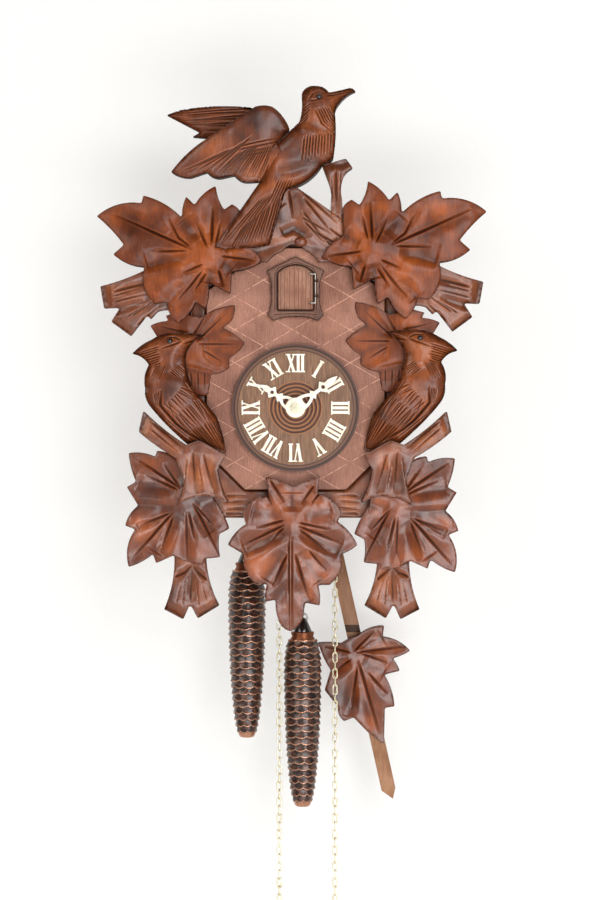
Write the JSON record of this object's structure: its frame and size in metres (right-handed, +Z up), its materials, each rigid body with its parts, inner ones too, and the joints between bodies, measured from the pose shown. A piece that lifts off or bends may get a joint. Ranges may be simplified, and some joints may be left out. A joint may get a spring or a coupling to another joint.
{
  "type": "cuckoo clock",
  "caption": "Hanging pendulum cuckoo clock: house-shaped wooden case with carved leaves and birds, bird door, dial with hands, chain train, cone weights and leaf pendulum.",
  "frame": {"origin": "centre of the hanging hole on the rear plane of the case, which lies on the wall", "axes": "+X to the viewer's right, +Z up, the dial faces -Y"},
  "size_m": [0.2536, 0.124, 0.5512],
  "materials": {
    "case_wood": "brown stain, satin",
    "carved_wood": "walnut stain, satin, darker in the cuts",
    "panel_wood": "reddish stain with pale scored lattice, matt",
    "dial_wood": "turned and stained, darker rim, satin",
    "ivory": "ivory coloured, gloss",
    "brass": "stamped, satin",
    "steel": "drawn wire and turned steel",
    "chain_brass": "brass plated wire links, bright",
    "cone_iron": "dark brown lacquer rubbed to copper on the ridges",
    "rod_wood": "plain stained strip, matt",
    "pale_wood": "unfinished pale wood",
    "bellows_paper": "folded bellows paper, matt",
    "bird_paint": "painted wood, gloss"
  },
  "bodies": {
    "case": {"case_front": "case_wood", "case_left_side": "case_wood", "case_right_side": "case_wood", "case_floor": "case_wood", "back_board": "case_wood", "roof_boards": "case_wood", "carved_frame": "carved_wood", "front_panel": "panel_wood", "door_surround": "carved_wood", "crest_gable": "carved_wood", "crest_bird": "carved_wood", "crest_near_wing": "carved_wood", "upper_left_leaf": "carved_wood", "upper_right_leaf": "carved_wood", "left_bird": "carved_wood", "right_bird": "carved_wood", "bird_leaves": "carved_wood", "branches": "carved_wood", "lower_left_leaf": "carved_wood", "lower_right_leaf": "carved_wood", "centre_leaf": "carved_wood", "dial": "dial_wood", "numerals": "ivory", "front_plate": "brass", "rear_plate": "brass", "pillars": "steel", "whistles": "pale_wood", "left_bellows_folds": "bellows_paper", "right_bellows_folds": "bellows_paper", "chain_wraps": "chain_brass"},
    "rear_cover": {"rear_cover": "case_wood", "gong": "steel"},
    "turn_button": {"turn_button": "case_wood"},
    "minute_hand": {"minute_hand": "ivory", "minute_arbor": "brass"},
    "motion_wheel": {"motion_wheel": "brass"},
    "hour_hand": {"hour_hand": "ivory", "hour_wheel": "brass"},
    "cuckoo": {"cuckoo_bird": "bird_paint", "cuckoo_arm": "steel"},
    "cuckoo_door": {"cuckoo_door": "carved_wood", "door_hinge_wire": "steel"},
    "pendulum": {"verge": "steel", "pendulum_rod": "rod_wood", "pendulum_leaf": "carved_wood"},
    "right_weight": {"right_weight": "cone_iron", "right_weight_chain": "chain_brass"},
    "right_free_chain": {"right_free_chain": "chain_brass"},
    "going_great_wheel": {"going_great_wheel": "brass"},
    "centre_wheel": {"centre_wheel": "brass"},
    "third_wheel": {"third_wheel": "brass"},
    "escape_wheel": {"escape_wheel": "brass"},
    "left_weight": {"left_weight": "cone_iron", "left_weight_chain": "chain_brass"},
    "left_free_chain": {"left_free_chain": "chain_brass"},
    "strike_great_wheel": {"strike_great_wheel": "brass"},
    "strike_wheel": {"strike_wheel": "brass"},
    "hammer": {"hammer": "steel"},
    "left_bellows_lid": {"left_bellows_lid": "pale_wood"},
    "right_bellows_lid": {"right_bellows_lid": "pale_wood"}
  },
  "joints": [
    {"name": "rear_cover_swing", "type": "hinge", "parent": "case", "child": "rear_cover", "pos_m": [-0.0472, -0.0055, -0.096], "axis": [0, 0, 1], "range_deg": [0, 88]},
    {"name": "turn_button_turn", "type": "hinge", "parent": "case", "child": "turn_button", "pos_m": [0, -0.002, -0.041], "axis": [0, 1, 0], "range_deg": [0, 90]},
    {"name": "minute_hand_turn", "type": "hinge", "parent": "case", "child": "minute_hand", "pos_m": [0, -0.09, -0.085], "axis": [0, 1, 0], "continuous": true},
    {"name": "motion_wheel_turn", "type": "hinge", "parent": "case", "child": "motion_wheel", "pos_m": [0, -0.08, -0.097], "axis": [0, 1, 0], "continuous": true},
    {"name": "hour_hand_turn", "type": "hinge", "parent": "case", "child": "hour_hand", "pos_m": [0, -0.09, -0.085], "axis": [0, 1, 0], "continuous": true},
    {"name": "cuckoo_swing", "type": "hinge", "parent": "case", "child": "cuckoo", "pos_m": [0.045, -0.075, -0.02], "axis": [0, 0, 1], "range_deg": [0, 40]},
    {"name": "cuckoo_door_swing", "type": "hinge", "parent": "case", "child": "cuckoo_door", "pos_m": [0.0129, -0.1061, -0.008], "axis": [0, 0, 1], "range_deg": [0, 95]},
    {"name": "pendulum_swing", "type": "hinge", "parent": "case", "child": "pendulum", "pos_m": [0, -0.03, -0.061], "axis": [0, 1, 0], "range_deg": [0, 25.2]},
    {"name": "right_weight_run", "type": "slide", "parent": "case", "child": "right_weight", "axis": [0, 0, -1], "range_m": [0, 0.02]},
    {"name": "right_free_chain_run", "type": "slide", "parent": "case", "child": "right_free_chain", "axis": [0, 0, 1], "range_m": [0, 0.02]},
    {"name": "going_great_wheel_turn", "type": "hinge", "parent": "case", "child": "going_great_wheel", "pos_m": [0.0154, -0.057, -0.116], "axis": [0, -1, 0], "range_deg": [0, 107]},
    {"name": "centre_wheel_turn", "type": "hinge", "parent": "case", "child": "centre_wheel", "pos_m": [0, -0.071, -0.085], "axis": [0, 1, 0], "range_deg": [0, 100]},
    {"name": "third_wheel_turn", "type": "hinge", "parent": "case", "child": "third_wheel", "pos_m": [0.02089, -0.07, -0.07698], "axis": [0, -1, 0], "range_deg": [0, 400]},
    {"name": "escape_wheel_turn", "type": "hinge", "parent": "case", "child": "escape_wheel", "pos_m": [0.01719, -0.066, -0.06314], "axis": [0, 1, 0], "range_deg": [0, 1200]},
    {"name": "left_weight_run", "type": "slide", "parent": "case", "child": "left_weight", "axis": [0, 0, -1], "range_m": [0, 0.02]},
    {"name": "left_free_chain_run", "type": "slide", "parent": "case", "child": "left_free_chain", "axis": [0, 0, 1], "range_m": [0, 0.02]},
    {"name": "strike_great_wheel_turn", "type": "hinge", "parent": "case", "child": "strike_great_wheel", "pos_m": [-0.0216, -0.057, -0.116], "axis": [0, -1, 0], "range_deg": [0, 107]},
    {"name": "strike_wheel_turn", "type": "hinge", "parent": "case", "child": "strike_wheel", "pos_m": [-0.01936, -0.047, -0.09044], "axis": [0, 1, 0], "range_deg": [0, 123]},
    {"name": "hammer_swing", "type": "hinge", "parent": "case", "child": "hammer", "pos_m": [-0.031, -0.045, -0.065], "axis": [0, 1, 0], "range_deg": [0, 12]},
    {"name": "left_bellows_lift", "type": "slide", "parent": "case", "child": "left_bellows_lid", "axis": [0, 0, 1], "range_m": [0, 0.008], "deforming": ["left_bellows_folds"]},
    {"name": "right_bellows_lift", "type": "slide", "parent": "case", "child": "right_bellows_lid", "axis": [0, 0, 1], "range_m": [0, 0.008], "deforming": ["right_bellows_folds"]}
  ],
  "couplings": [
    {"joint": "motion_wheel_turn", "follows": "minute_hand_turn", "ratio": -0.33333},
    {"joint": "hour_hand_turn", "follows": "minute_hand_turn", "ratio": 0.083333},
    {"joint": "cuckoo_door_swing", "follows": "cuckoo_swing", "ratio": 2.375},
    {"joint": "right_free_chain_run", "follows": "right_weight_run", "ratio": 1},
    {"joint": "going_great_wheel_turn", "follows": "right_weight_run", "rad_per_m": 92.593},
    {"joint": "centre_wheel_turn", "follows": "right_weight_run", "rad_per_m": 86.42},
    {"joint": "third_wheel_turn", "follows": "right_weight_run", "rad_per_m": 345.68},
    {"joint": "escape_wheel_turn", "follows": "right_weight_run", "rad_per_m": 1037},
    {"joint": "left_free_chain_run", "follows": "left_weight_run", "ratio": 1},
    {"joint": "strike_great_wheel_turn", "follows": "left_weight_run", "rad_per_m": 92.593},
    {"joint": "strike_wheel_turn", "follows": "left_weight_run", "rad_per_m": 106.48}
  ]
}
